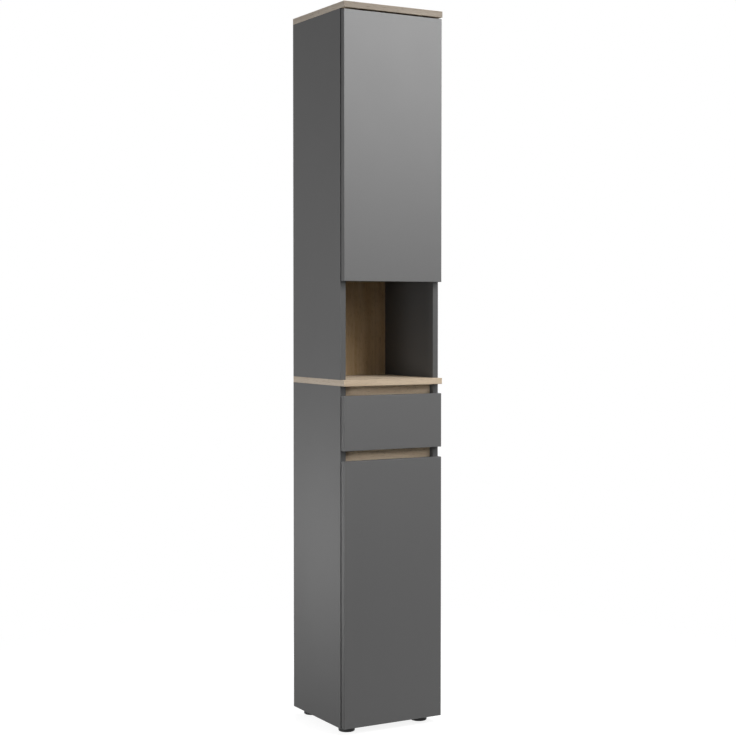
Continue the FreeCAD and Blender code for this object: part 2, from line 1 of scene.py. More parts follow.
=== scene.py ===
import bpy
import bmesh
import json
import math
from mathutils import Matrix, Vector


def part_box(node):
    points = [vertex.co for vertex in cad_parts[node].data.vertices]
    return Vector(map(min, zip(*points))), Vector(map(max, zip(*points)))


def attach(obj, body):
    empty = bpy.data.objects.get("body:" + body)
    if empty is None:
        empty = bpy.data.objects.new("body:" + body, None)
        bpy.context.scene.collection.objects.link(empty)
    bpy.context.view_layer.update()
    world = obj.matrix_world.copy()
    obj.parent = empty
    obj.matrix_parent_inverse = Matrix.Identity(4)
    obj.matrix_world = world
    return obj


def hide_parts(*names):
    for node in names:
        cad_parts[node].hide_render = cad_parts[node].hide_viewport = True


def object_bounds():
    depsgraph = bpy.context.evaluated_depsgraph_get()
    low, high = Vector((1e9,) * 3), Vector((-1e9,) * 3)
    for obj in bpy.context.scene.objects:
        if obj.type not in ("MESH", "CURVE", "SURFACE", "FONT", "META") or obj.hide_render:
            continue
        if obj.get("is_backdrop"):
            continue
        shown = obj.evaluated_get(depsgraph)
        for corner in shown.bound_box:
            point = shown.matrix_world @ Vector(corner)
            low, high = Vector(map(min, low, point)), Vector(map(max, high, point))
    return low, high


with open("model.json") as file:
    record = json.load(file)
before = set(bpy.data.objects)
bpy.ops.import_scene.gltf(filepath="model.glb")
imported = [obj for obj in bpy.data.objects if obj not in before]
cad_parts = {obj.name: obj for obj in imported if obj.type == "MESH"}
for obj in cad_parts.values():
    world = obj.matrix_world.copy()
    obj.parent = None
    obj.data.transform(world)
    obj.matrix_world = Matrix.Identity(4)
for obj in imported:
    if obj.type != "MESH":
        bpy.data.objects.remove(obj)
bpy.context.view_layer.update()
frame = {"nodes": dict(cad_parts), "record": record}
nodes = frame["nodes"]
record = frame["record"]
bodyOfNode = {node: body for body, members in record["behaviour"]["bodies"].items() for node in members}
print("frame loaded,", len(nodes), "nodes")

vectorKind, colourKind, valueKind = "NodeSocketVector", "NodeSocketColor", "NodeSocketFloat"
countKind, materialKind, geometryKind = "NodeSocketInt", "NodeSocketMaterial", "NodeSocketGeometry"
mixPlaces = {"factor": 0, "first": 6, "second": 7, "result": 2}  # the colour sockets of a Mix node
randomPlaces = {"most": 3, "value": 1}  # the number sockets of a Random Value node


# Node helpers, shared by the shader groups, the materials and the fastener trees

def newTree(treeKind, name, inputs, outputs):
    tree = bpy.data.node_groups.new(name, treeKind)
    for way, sockets in (("INPUT", inputs), ("OUTPUT", outputs)):
        for label, kind in sockets.items():
            tree.interface.new_socket(name=label, in_out=way, socket_type=kind)
    return tree, tree.nodes.new("NodeGroupInput"), tree.nodes.new("NodeGroupOutput")


def addNode(tree, kind, values=None, **settings):
    node = tree.nodes.new(kind)
    for key, value in settings.items():
        setattr(node, key, value)
    for key, value in (values or {}).items():
        node.inputs[key].default_value = value
    return node


def feed(tree, socket, value):
    if isinstance(value, bpy.types.NodeSocket):
        tree.links.new(value, socket)
    else:
        socket.default_value = value


def addMath(tree, operation, first, second, clamp=False):
    node = addNode(tree, "ShaderNodeMath", operation=operation, use_clamp=clamp)
    feed(tree, node.inputs[0], first)
    feed(tree, node.inputs[1], second)
    return node.outputs[0]


def scaled(tree, value, factor):
    return addMath(tree, "MULTIPLY", value, factor)


def summed(tree, first, second, clamp=False):
    return addMath(tree, "ADD", first, second, clamp)


def centred(tree, value):
    return addMath(tree, "SUBTRACT", value, 0.5)  # noise lies about a half


def addNoise(tree, vector, stretch, detail, roughness=0.5):
    mapping = addNode(tree, "ShaderNodeMapping", {"Scale": stretch})  # cycles per metre on each axis
    noise = addNode(tree, "ShaderNodeTexNoise", {"Scale": 1.0, "Detail": detail, "Roughness": roughness})
    tree.links.new(vector, mapping.inputs["Vector"])
    tree.links.new(mapping.outputs["Vector"], noise.inputs["Vector"])
    return noise.outputs["Fac"]


def addCells(tree, vector, density):
    cells = addNode(tree, "ShaderNodeTexVoronoi", {"Scale": density})  # cells per metre
    grey = addNode(tree, "ShaderNodeRGBToBW")
    tree.links.new(vector, cells.inputs["Vector"])
    tree.links.new(cells.outputs["Color"], grey.inputs[0])
    return grey.outputs[0]


def addRange(tree, value, fromLow, fromHigh, toLow=0.0, toHigh=1.0):
    node = addNode(tree, "ShaderNodeMapRange", interpolation_type="SMOOTHSTEP")
    node.inputs["From Min"].default_value = fromLow
    node.inputs["From Max"].default_value = fromHigh
    node.inputs["To Min"].default_value = toLow
    node.inputs["To Max"].default_value = toHigh
    tree.links.new(value, node.inputs["Value"])
    return node.outputs["Result"]


def addMix(tree, factor, first, second):
    node = addNode(tree, "ShaderNodeMix", data_type="RGBA")
    for key, value in (("factor", factor), ("first", first), ("second", second)):
        feed(tree, node.inputs[mixPlaces[key]], value)
    return node.outputs[mixPlaces["result"]]


def brightened(tree, colour, lift):
    node = addNode(tree, "ShaderNodeVectorMath", operation="SCALE")  # the colour times one plus the lift
    tree.links.new(colour, node.inputs[0])
    tree.links.new(summed(tree, lift, 1.0), node.inputs["Scale"])
    return node.outputs[0]


# Oak decor: growth bands, fibre lines, open pores and broad patches, with the grain along the incoming X
oakGrain = {
    "drift": {"stretch": (2.2, 7.0, 7.0), "detail": 2.0},
    "driftReach": 0.06,  # metres that the bands wander across the grain
    "bands": {"stretch": (1.1, 62.0, 62.0), "detail": 3.0, "roughness": 0.55},
    "bandRange": (0.32, 0.7),
    "fibres": {"stretch": (9.0, 620.0, 620.0), "detail": 3.0, "roughness": 0.6},
    "pores": {"stretch": (42.0, 1300.0, 1300.0), "detail": 1.0},
    "poreRange": (0.6, 0.7),
    "patches": {"stretch": (1.6, 5.0, 5.0), "detail": 2.0},
    "bandShare": 0.55,
    "fibreShare": 0.35,
    "patchShare": 0.5,
    "poreBase": 0.25,  # darkness of a pore between the bands
    "poreInBands": 0.45,  # and what a band adds to it
    "fibreRelief": 0.5,
}


def buildOakGroup(look):
    group, inside, outside = newTree(
        "ShaderNodeTree", "oakGrain",
        {"Vector": vectorKind, "Pale": colourKind, "Brown": colourKind, "Pore": colourKind,
         "Contrast": valueKind},
        {"Color": colourKind, "Height": valueKind, "Pores": valueKind})
    vector = inside.outputs["Vector"]
    drift = scaled(group, addNoise(group, vector, **look["drift"]), look["driftReach"])
    split = addNode(group, "ShaderNodeSeparateXYZ")
    joined = addNode(group, "ShaderNodeCombineXYZ")
    group.links.new(vector, split.inputs[0])
    group.links.new(split.outputs["X"], joined.inputs["X"])
    for axis in ("Y", "Z"):
        group.links.new(summed(group, split.outputs[axis], drift), joined.inputs[axis])
    bent = joined.outputs[0]
    bands = addRange(group, addNoise(group, bent, **look["bands"]), *look["bandRange"])
    fibres = addNoise(group, bent, **look["fibres"])
    pores = addRange(group, addNoise(group, bent, **look["pores"]), *look["poreRange"])
    patches = centred(group, addNoise(group, vector, **look["patches"]))
    tone = summed(group, scaled(group, bands, look["bandShare"]), scaled(group, fibres, look["fibreShare"]))
    tone = summed(group, tone, scaled(group, patches, look["patchShare"]))
    tone = addMath(group, "MULTIPLY", tone, inside.outputs["Contrast"], clamp=True)
    wood = addMix(group, tone, inside.outputs["Pale"], inside.outputs["Brown"])
    darkness = summed(group, scaled(group, bands, look["poreInBands"]), look["poreBase"])
    shaded = scaled(group, pores, darkness)
    relief = addMath(group, "SUBTRACT", scaled(group, fibres, look["fibreRelief"]), shaded)
    group.links.new(addMix(group, shaded, wood, inside.outputs["Pore"]), outside.inputs["Color"])
    group.links.new(relief, outside.inputs["Height"])
    group.links.new(shaded, outside.inputs["Pores"])
    return group


# Matt coat on boards, paint and plastics: faint clouds, fine pearl texture, uneven gloss
coatTexture = {
    "cloud": {"stretch": (5.0, 5.0, 3.0), "detail": 3.0},
    "pearl": {"stretch": (1500.0, 1500.0, 1500.0), "detail": 2.0},
    "drift": {"stretch": (14.0, 14.0, 9.0), "detail": 4.0, "roughness": 0.6},
}


def buildCoatGroup(look):
    group, inside, outside = newTree(
        "ShaderNodeTree", "mattCoat",
        {"Vector": vectorKind, "Base": colourKind, "Cloud": valueKind, "Pearl": valueKind, "Gloss": valueKind,
         "Gloss Drift": valueKind},
        {"Color": colourKind, "Roughness": valueKind, "Height": valueKind})
    vector = inside.outputs["Vector"]
    cloud = centred(group, addNoise(group, vector, **look["cloud"]))
    pearl = centred(group, addNoise(group, vector, **look["pearl"]))
    drift = centred(group, addNoise(group, vector, **look["drift"]))
    lift = scaled(group, cloud, inside.outputs["Cloud"])
    lift = summed(group, lift, scaled(group, pearl, inside.outputs["Pearl"]))
    rough = scaled(group, drift, inside.outputs["Gloss Drift"])
    rough = summed(group, rough, inside.outputs["Gloss"], clamp=True)
    group.links.new(brightened(group, inside.outputs["Base"], lift), outside.inputs["Color"])
    group.links.new(rough, outside.inputs["Roughness"])
    group.links.new(pearl, outside.inputs["Height"])
    return group


# Wear on eased edges: the arris attribute marks them, noise breaks the mark up
wearTexture = {
    "noise": {"stretch": (55.0, 55.0, 55.0), "detail": 4.0, "roughness": 0.65},
    "range": (0.38, 0.68, 0.15, 1.0),
}


def buildWearGroup(look):
    group, inside, outside = newTree(
        "ShaderNodeTree", "arrisWear",
        {"Vector": vectorKind, "Arris": valueKind, "Amount": valueKind},
        {"Mask": valueKind})
    broken = addRange(group, addNoise(group, inside.outputs["Vector"], **look["noise"]), *look["range"])
    mask = scaled(group, scaled(group, broken, inside.outputs["Arris"]), inside.outputs["Amount"])
    group.links.new(mask, outside.inputs["Mask"])
    return group


# Plated and cast metal: spangle, and fine lines drawn along X
metalTexture = {
    "spangleCells": 420.0,
    "drawn": {"stretch": (60.0, 2400.0, 2400.0), "detail": 2.0},
    "drawnTone": 0.1,
    "drawnGloss": 0.16,
}


def buildMetalGroup(look):
    group, inside, outside = newTree(
        "ShaderNodeTree", "platedMetal",
        {"Vector": vectorKind, "Base": colourKind, "Spangle": valueKind, "Gloss": valueKind},
        {"Color": colourKind, "Roughness": valueKind, "Height": valueKind})
    vector = inside.outputs["Vector"]
    cells = centred(group, addCells(group, vector, look["spangleCells"]))
    spangle = scaled(group, cells, inside.outputs["Spangle"])
    drawn = centred(group, addNoise(group, vector, **look["drawn"]))
    lift = summed(group, spangle, scaled(group, drawn, look["drawnTone"]))
    rough = summed(group, inside.outputs["Gloss"], scaled(group, drawn, look["drawnGloss"]))
    rough = summed(group, rough, spangle, clamp=True)
    group.links.new(brightened(group, inside.outputs["Base"], lift), outside.inputs["Color"])
    group.links.new(rough, outside.inputs["Roughness"])
    group.links.new(drawn, outside.inputs["Height"])
    return group


oakGroup = buildOakGroup(oakGrain)
coatGroup = buildCoatGroup(coatTexture)
wearGroup = buildWearGroup(wearTexture)
metalGroup = buildMetalGroup(metalTexture)
print("shader groups built")


# Materials; each look gives relief as the strength of its bump and depth as the bump's height in metres

def startMaterial(name):
    material = bpy.data.materials.new(name)
    material.use_nodes = True
    tree = material.node_tree
    tree.nodes.clear()
    shader = addNode(tree, "ShaderNodeBsdfPrincipled")
    output = addNode(tree, "ShaderNodeOutputMaterial")
    tree.links.new(shader.outputs["BSDF"], output.inputs["Surface"])
    coordinates = addNode(tree, "ShaderNodeTexCoord")
    return material, tree, shader, coordinates.outputs["Object"]


def placeGroup(tree, group, links, values):
    node = addNode(tree, "ShaderNodeGroup", values, node_tree=group)
    for key, socket in links.items():
        tree.links.new(socket, node.inputs[key])
    return node


def wornColour(tree, place, colour, worn, amount):
    arris = addNode(tree, "ShaderNodeAttribute", attribute_name="arris")
    wear = placeGroup(tree, wearGroup, {"Vector": place, "Arris": arris.outputs["Fac"]}, {"Amount": amount})
    return addMix(tree, wear.outputs["Mask"], colour, worn)


def dressShader(tree, shader, colour, roughness, height, look):
    bump = addNode(tree, "ShaderNodeBump", {"Strength": look["relief"], "Distance": look["depth"]})
    tree.links.new(colour, shader.inputs["Base Color"])
    tree.links.new(roughness, shader.inputs["Roughness"])
    tree.links.new(height, bump.inputs["Height"])
    tree.links.new(bump.outputs["Normal"], shader.inputs["Normal"])


oakLook = {
    "pale": (0.6, 0.49, 0.365),
    "brown": (0.4, 0.3, 0.2),
    "pore": (0.16, 0.105, 0.062),
    "worn": (0.6, 0.5, 0.38),
    "contrast": 0.9,
    "gloss": 0.74,
    "poreGloss": 0.25,
    "wear": 0.4,
    "shine": 0.15,
    "relief": 0.35,
    "depth": 0.0002,
    "turns": {"X": (0.0, 0.0, 0.0), "Y": (0.0, 0.0, math.radians(90)), "Z": (0.0, math.radians(90), 0.0)},
}
oakFaces = {  # grain axis of each kind of face, and a brightness and greyness of the one oak decor set face by face: painted light and shade
    # painted light and shade: each face's copy of the decor is lighter or darker as light falls on it
    "oakFront": {"axis": "X", "shade": 1.18, "grey": 0.0},
    "oakEnd": {"axis": "Y", "shade": 0.9, "grey": 0.35},
    # painted light: the flat tops, the worktop's top in the niche among them, lightened as if lit
    "oakFlat": {"axis": "X", "shade": 1.3, "grey": 0.05},
    # painted shade: the top board's front darker and greyer than the worktop's front
    "oakTopFront": {"axis": "X", "shade": 0.74, "grey": 0.4},
    "oakTopEnd": {"axis": "Y", "shade": 1.08, "grey": 0.45},
    # painted light: the grip strips, which lie in the grooves' shade, lightened as if lit
    "oakStrip": {"axis": "X", "shade": 1.42, "grey": 0.0},
    # painted shade: the niche back darker and warmer brown, as it lies in shade
    "oakBack": {"axis": "Z", "shade": 0.98, "grey": -0.5},
}


# scales and greys the decor colours by each face's painted light and shade
def tonedOak(key, face):
    grey = sum(oakLook[key]) / 3
    return [face["shade"] * (value + (grey - value) * face["grey"]) for value in oakLook[key]] + [1.0]


def makeOak(name, face):
    material, tree, shader, place = startMaterial(name)
    turn = addNode(tree, "ShaderNodeMapping", {"Rotation": oakLook["turns"][face["axis"]]})  # lays the grain
    tree.links.new(place, turn.inputs["Vector"])
    grain = placeGroup(tree, oakGroup, {"Vector": turn.outputs["Vector"]},
                       {"Pale": tonedOak("pale", face), "Brown": tonedOak("brown", face),
                        "Pore": tonedOak("pore", face), "Contrast": oakLook["contrast"]})
    colour = wornColour(tree, place, grain.outputs["Color"], tonedOak("worn", face), oakLook["wear"])
    rough = summed(tree, scaled(tree, grain.outputs["Pores"], oakLook["poreGloss"]), oakLook["gloss"])
    shader.inputs["Specular IOR Level"].default_value = oakLook["shine"]
    dressShader(tree, shader, colour, rough, grain.outputs["Height"], oakLook)
    return material


greyLook = {"base": (0.098, 0.098, 0.098, 1.0), "cloud": 0.05, "pearl": 0.05, "gloss": 0.4, "drift": 0.05,
            "wear": 0.3, "worn": (0.17, 0.17, 0.17, 1.0), "shine": 0.6, "relief": 0.12, "depth": 0.00008}
coatedLooks = {
    "greyFront": greyLook,
    # painted shade: the edges of the doors and drawer front are a little darker than their faces
    "frontEdge": {**greyLook, "base": (0.09, 0.09, 0.09, 1.0), "gloss": 0.6, "shine": 0.2},
    "greyBoard": {**greyLook, "gloss": 0.6, "pearl": 0.09, "relief": 0.2, "shine": 0.2},
    "greyEdge": {**greyLook, "base": (0.105, 0.105, 0.105, 1.0), "gloss": 0.5, "pearl": 0.03, "relief": 0.08,
                 "shine": 0.2},
    "greyBack": {**greyLook, "gloss": 0.65, "shine": 0.2, "wear": 0.0},
    "drawerGrey": {**greyLook, "base": (0.16, 0.16, 0.162, 1.0), "gloss": 0.55, "pearl": 0.1, "relief": 0.2},
    "footPlastic": {**greyLook, "base": (0.012, 0.012, 0.012, 1.0), "worn": (0.05, 0.05, 0.05, 1.0),
                    "gloss": 0.55, "pearl": 0.25, "relief": 0.4, "shine": 0.35},
    "runnerPaint": {**greyLook, "base": (0.52, 0.52, 0.51, 1.0), "worn": (0.62, 0.62, 0.62, 1.0),
                    "gloss": 0.38, "pearl": 0.08, "relief": 0.35},
    "rollerPlastic": {**greyLook, "base": (0.72, 0.72, 0.69, 1.0), "worn": (0.8, 0.8, 0.78, 1.0),
                      "pearl": 0.06},
    "bumperRubber": {**greyLook, "base": (0.55, 0.55, 0.54, 1.0), "worn": (0.6, 0.6, 0.6, 1.0), "gloss": 0.3},
}


def makeCoated(name, look):
    material, tree, shader, place = startMaterial(name)
    coat = placeGroup(tree, coatGroup, {"Vector": place},
                      {"Base": look["base"], "Cloud": look["cloud"], "Pearl": look["pearl"],
                       "Gloss": look["gloss"], "Gloss Drift": look["drift"]})
    colour = wornColour(tree, place, coat.outputs["Color"], look["worn"], look["wear"])
    shader.inputs["Specular IOR Level"].default_value = look["shine"]
    dressShader(tree, shader, colour, coat.outputs["Roughness"], coat.outputs["Height"], look)
    return material


steelLook = {"metallic": 1.0, "wear": 0.5, "depth": 0.00005}
metalLooks = {
    "hingeNickel": {**steelLook, "base": (0.66, 0.65, 0.63, 1.0), "worn": (0.8, 0.8, 0.79, 1.0),
                    "spangle": 0.05, "gloss": 0.24, "wear": 0.6, "relief": 0.12},
    "screwZinc": {**steelLook, "base": (0.6, 0.61, 0.62, 1.0), "worn": (0.75, 0.75, 0.75, 1.0),
                  "spangle": 0.1, "gloss": 0.3, "relief": 0.15},
    "castZinc": {**steelLook, "base": (0.5, 0.51, 0.53, 1.0), "worn": (0.66, 0.66, 0.67, 1.0),
                 "spangle": 0.16, "gloss": 0.42, "relief": 0.3},
    "bracketZinc": {**steelLook, "base": (0.62, 0.62, 0.61, 1.0), "worn": (0.75, 0.75, 0.74, 1.0),
                    "spangle": 0.22, "gloss": 0.34, "relief": 0.2},
}


def makeMetal(name, look):
    material, tree, shader, place = startMaterial(name)
    metal = placeGroup(tree, metalGroup, {"Vector": place},
                       {"Base": look["base"], "Spangle": look["spangle"], "Gloss": look["gloss"]})
    colour = wornColour(tree, place, metal.outputs["Color"], look["worn"], look["wear"])
    shader.inputs["Metallic"].default_value = look["metallic"]
    dressShader(tree, shader, colour, metal.outputs["Roughness"], metal.outputs["Height"], look)
    return material


# Bare wood and pressed wood: flakes or fibres of several browns
coreLook = {
    "speck": {"stretch": (700.0, 700.0, 700.0), "detail": 3.0},
    "clouds": {"stretch": (7.0, 7.0, 4.0), "detail": 4.0},
    "flakeShare": 0.6,
    "speckShare": 0.4,
    "cloudShare": 0.3,
    "glossRange": (0.3, 0.7, 0.75, 0.95),
    "shine": 0.2,
    "relief": 0.5,
    "depth": 0.0003,
}
coreLooks = {
    "chipCore": {**coreLook, "flakes": 380.0, "stretch": (1.0, 1.0, 1.6), "dark": (0.22, 0.13, 0.065, 1.0),
                 "light": (0.56, 0.4, 0.23, 1.0)},
    "hardboard": {**coreLook, "flakes": 900.0, "stretch": (1.0, 1.0, 0.6), "dark": (0.14, 0.082, 0.045, 1.0),
                  "light": (0.27, 0.17, 0.1, 1.0), "cloudShare": 1.1},
    "beechDowel": {**coreLook, "flakes": 1200.0, "stretch": (0.15, 0.15, 0.15),
                   "dark": (0.5, 0.34, 0.19, 1.0), "light": (0.66, 0.49, 0.31, 1.0)},
}


def makeCore(name, look):
    material, tree, shader, place = startMaterial(name)
    stretch = addNode(tree, "ShaderNodeMapping", {"Scale": look["stretch"]})
    tree.links.new(place, stretch.inputs["Vector"])
    flakes = addCells(tree, stretch.outputs["Vector"], look["flakes"])
    speck = addNoise(tree, place, **look["speck"])
    clouds = centred(tree, addNoise(tree, place, **look["clouds"]))
    tone = summed(tree, scaled(tree, flakes, look["flakeShare"]), scaled(tree, speck, look["speckShare"]))
    tone = summed(tree, tone, scaled(tree, clouds, look["cloudShare"]), clamp=True)
    colour = addMix(tree, tone, look["dark"], look["light"])
    rough = addRange(tree, speck, *look["glossRange"])
    shader.inputs["Specular IOR Level"].default_value = look["shine"]
    dressShader(tree, shader, colour, rough, tone, look)
    return material


materials = {name: makeOak(name, face) for name, face in oakFaces.items()}
materials.update({name: makeCoated(name, look) for name, look in coatedLooks.items()})
materials.update({name: makeMetal(name, look) for name, look in metalLooks.items()})
materials.update({name: makeCore(name, look) for name, look in coreLooks.items()})
print("materials made:", len(materials))


# Mesh helpers
meshLimits = {"merge": 1e-6, "turnedMerge": 1e-7, "flat": 0.5}  # metres, metres, degrees


def pieceName(node):
    words = node.split("_") if "_" in node else [node, "board"]
    return words[0] + "".join(word.capitalize() for word in words[1:])


def mergedCopy(node):
    mesh = bmesh.new()
    mesh.from_mesh(nodes[node].data)
    bmesh.ops.remove_doubles(mesh, verts=mesh.verts, dist=meshLimits["merge"])
    return mesh


def cornersOf(points):
    return Vector(map(min, zip(*points))), Vector(map(max, zip(*points)))


def islandsOf(node):
    # the separate solids of one node, each as a list of points
    mesh = mergedCopy(node)
    seen = set()
    islands = []
    for start in mesh.verts:
        if start in seen:
            continue
        seen.add(start)
        waiting = [start]
        points = []
        while waiting:
            vertex = waiting.pop()
            points.append(vertex.co.copy())
            for edge in vertex.link_edges:
                other = edge.other_vert(vertex)
                if other not in seen:
                    seen.add(other)
                    waiting.append(other)
        islands.append(points)
    mesh.free()
    return islands


def finishMesh(mesh, node):
    data = bpy.data.meshes.new(pieceName(node))
    mesh.to_mesh(data)
    mesh.free()
    return data


def addPiece(node, data, looks):
    for look in looks:
        data.materials.append(materials[look])
    piece = bpy.data.objects.new(pieceName(node), data)
    bpy.context.scene.collection.objects.link(piece)
    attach(piece, bodyOfNode[node])
    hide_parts(node)


# Eased copies: the real shape with its sharp straight edges broken

def easeEdges(mesh, ease):
    low, high = cornersOf([vertex.co for vertex in mesh.verts])
    flat = math.radians(meshLimits["flat"])
    bmesh.ops.dissolve_limit(mesh, angle_limit=flat, verts=mesh.verts, edges=mesh.edges)
    arris = mesh.faces.layers.float.new("arris")
    sharp = math.radians(ease["angle"])
    ridges = [edge for edge in mesh.edges
              if edge.is_convex and edge.calc_length() > ease["shortest"] and edge.calc_face_angle(0) > sharp]
    made = bmesh.ops.bevel(mesh, geom=ridges, offset=ease["width"], offset_type="OFFSET",
                           segments=ease["segments"], profile=ease["profile"], affect="EDGES",
                           clamp_overlap=False, loop_slide=True)
    for face in made["faces"]:
        face[arris] = 1.0
    for vertex in mesh.verts:  # rounding at a corner never leaves the real outline
        vertex.co = [min(max(value, least), most) for value, least, most in zip(vertex.co, low, high)]
    return low, high


boardEase = {"width": 0.0005, "segments": 2, "profile": 0.5, "angle": 75.0, "shortest": 0.006,
             "cornerReach": 0.0013}
boardSkins = {  # looks by the axis that a face points along, then the look of drilled holes and grooves
    "worktop": ("oakEnd", "oakFront", "oakFlat", "chipCore"),
    "top_board": ("oakTopEnd", "oakTopFront", "oakFlat", "chipCore"),
    "upper_grip_strip": ("oakStrip", "oakStrip", "oakStrip", "chipCore"),
    "lower_grip_strip": ("oakStrip", "oakStrip", "oakStrip", "chipCore"),
    "niche_back_panel": ("hardboard", "oakBack", "hardboard", "hardboard"),
}
for node in ("upper_door", "lower_door", "drawer_front"):
    boardSkins[node] = ("frontEdge", "greyFront", "frontEdge", "chipCore")
for node in ("lower_side_left", "lower_side_right", "upper_side_left", "upper_side_right"):
    boardSkins[node] = ("greyBoard", "greyEdge", "greyEdge", "chipCore")
for node in ("bottom_panel", "drawer_divider", "niche_ceiling", "upper_shelf_1", "upper_shelf_2",
             "lower_shelf_1"):
    boardSkins[node] = ("greyEdge", "greyEdge", "greyBoard", "chipCore")
for node in ("lower_back_panel", "upper_back_panel"):
    boardSkins[node] = ("hardboard", "greyBack", "hardboard", "hardboard")
for node in ("drawer_side_left", "drawer_side_right", "drawer_back"):
    boardSkins[node] = ("drawerGrey", "drawerGrey", "drawerGrey", "chipCore")
boardSkins["drawer_bottom"] = ("hardboard", "hardboard", "drawerGrey", "hardboard")
rearRaw = {"lower_back_panel", "upper_back_panel", "niche_back_panel"}  # bare hardboard towards the wall
rawSkin = 3  # place of the look of holes and grooves in a board's skins


def skinIndex(face, low, high, bareRear):
    centre = face.calc_center_median()
    axis = max(range(3), key=lambda index: abs(face.normal[index]))
    reach = boardEase["cornerReach"]
    near = [min(centre[index] - low[index], high[index] - centre[index]) for index in range(3)]
    if near[axis] > reach and sum(gap < reach for gap in near) < 2:
        return rawSkin  # inside a hole or a groove
    if bareRear and axis == 1 and face.normal.y > 0:
        return rawSkin
    return axis


for node, skins in boardSkins.items():
    mesh = mergedCopy(node)
    low, high = easeEdges(mesh, boardEase)
    for face in mesh.faces:
        face.material_index = skinIndex(face, low, high, node in rearRaw)
    addPiece(node, finishMesh(mesh, node), skins)
print("boards and fronts eased:", len(boardSkins))

hardwareEase = {"width": 0.00025, "segments": 2, "profile": 0.5, "angle": 60.0, "shortest": 0.0015}
hardwareLooks = {
    "cabinet_runner_left": "runnerPaint", "cabinet_runner_right": "runnerPaint",
    "drawer_runner_left": "runnerPaint", "drawer_runner_right": "runnerPaint",
    "hinge_arms": "hingeNickel", "hinge_plates": "hingeNickel",
    "upper_door_hinge_cups": "hingeNickel", "lower_door_hinge_cups": "hingeNickel",
    "wall_bracket_left": "bracketZinc", "wall_bracket_right": "bracketZinc",
}
for node, look in hardwareLooks.items():
    mesh = mergedCopy(node)
    easeEdges(mesh, hardwareEase)
    addPiece(node, finishMesh(mesh, node), [look])
print("hinges, runners and brackets eased:", len(hardwareLooks))


# Turned pieces: a closed outline of (radius, height) swept round an axis

def turnOutline(mesh, outline, start, axis, steps):
    side = Vector((0, 0, 1)) if axis.y else Vector((0, 1, 0))  # a direction square to the axis
    other = axis.cross(side)
    rings = []
    for step in range(steps):
        angle = 2 * math.pi * step / steps
        out = side * math.cos(angle) + other * math.sin(angle)
        rings.append([mesh.verts.new(start + axis * height + out * radius) for radius, height in outline])
    count = len(outline)
    for step in range(steps):
        here, there = rings[step], rings[(step + 1) % steps]
        for index in range(count):
            following = (index + 1) % count
            if outline[index][0] == 0 and outline[following][0] == 0:
                continue  # a run along the axis has no surface
            mesh.faces.new((here[index], there[index], there[following], here[following]))


def finishTurned(mesh, node, crease):
    bmesh.ops.remove_doubles(mesh, verts=mesh.verts, dist=meshLimits["turnedMerge"])
    bmesh.ops.recalc_face_normals(mesh, faces=mesh.faces)
    data = finishMesh(mesh, node)
    data.shade_smooth()
    data.set_sharp_from_angle(angle=math.radians(crease))
    return data


footTurning = {
    "steps": 56,
    "crease": 35.0,
    "bore": 0.0021,
    "recess": 0.0041,
    "recessDepth": 0.006,
    "sole": 0.0019,
    "soleCurve": ((1.0, 0.0), (0.55, 0.2), (0.2, 0.6), (0.0, 1.4)),  # inset and rise in shares of the sole
    "round": 0.0007,
    "cornerShare": 0.3,
    "grooveHeight": 0.0098,
    "grooveWidth": 0.0012,
    "grooveDepth": 0.0006,
    "grooveFloor": (0.3, 0.7),  # where the floor begins and ends across the groove
}


def footOutline(turn, radius, height):
    top, groove = turn["round"], turn["grooveHeight"]
    corner = top * turn["cornerShare"]
    well = [(turn["bore"], turn["recessDepth"]), (turn["recess"], turn["recessDepth"]),
            (turn["recess"], top / 2), (turn["recess"] + top / 2, 0.0)]
    sole = [(radius - turn["sole"] * inset, turn["sole"] * rise) for inset, rise in turn["soleCurve"]]
    floor = [(radius - turn["grooveDepth"], groove + turn["grooveWidth"] * share)
             for share in turn["grooveFloor"]]
    ring = [(radius, groove)] + floor + [(radius, groove + turn["grooveWidth"])]
    head = [(radius, height - top), (radius - corner, height - corner), (radius - top, height),
            (turn["bore"], height)]
    return well + sole + ring + head


for node in ("foot_front_left", "foot_front_right", "foot_back_left", "foot_back_right"):
    low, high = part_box(node)
    start = Vector(((low.x + high.x) / 2, (low.y + high.y) / 2, low.z))
    outline = footOutline(footTurning, (high.x - low.x) / 2, high.z - low.z)
    mesh = bmesh.new()
    turnOutline(mesh, outline, start, Vector((0, 0, 1)), footTurning["steps"])
    addPiece(node, finishTurned(mesh, node, footTurning["crease"]), ["footPlastic"])
print("feet turned")

rollerTurning = {"steps": 48, "crease": 30.0, "bore": 0.00205, "hub": 0.0036, "rim": 0.0055, "dish": 0.0007,
                 "slope": 0.0003, "round": 0.0006, "cornerShare": 0.3}


def rollerOutline(turn, radius, width):
    corner = turn["round"] * turn["cornerShare"]
    near = [(turn["bore"], 0.0), (turn["hub"], 0.0), (turn["hub"] + turn["slope"], turn["dish"]),
            (turn["rim"], turn["dish"]), (turn["rim"] + turn["slope"], 0.0), (radius - turn["round"], 0.0),
            (radius - corner, corner), (radius, turn["round"])]
    return near + [(ring, width - height) for ring, height in reversed(near)]


for node in ("front_rollers", "rear_rollers"):
    mesh = bmesh.new()
    for points in islandsOf(node):
        low, high = cornersOf(points)
        start = Vector((low.x, (low.y + high.y) / 2, (low.z + high.z) / 2))
        outline = rollerOutline(rollerTurning, (high.z - low.z) / 2, high.x - low.x)
        turnOutline(mesh, outline, start, Vector((1, 0, 0)), rollerTurning["steps"])
    addPiece(node, finishTurned(mesh, node, rollerTurning["crease"]), ["rollerPlastic"])
print("rollers turned")

bumperTurning = {"steps": 32, "crease": 40.0, "dome": 0.55, "arcStep": 15}


def bumperOutline(turn, radius, height):
    wall = height * (1 - turn["dome"])
    angles = [math.radians(angle) for angle in range(0, 90, turn["arcStep"])]
    dome = [(radius * math.cos(angle), wall + (height - wall) * math.sin(angle)) for angle in angles]
    return [(0.0, 0.0), (radius, 0.0)] + dome + [(0.0, height)]


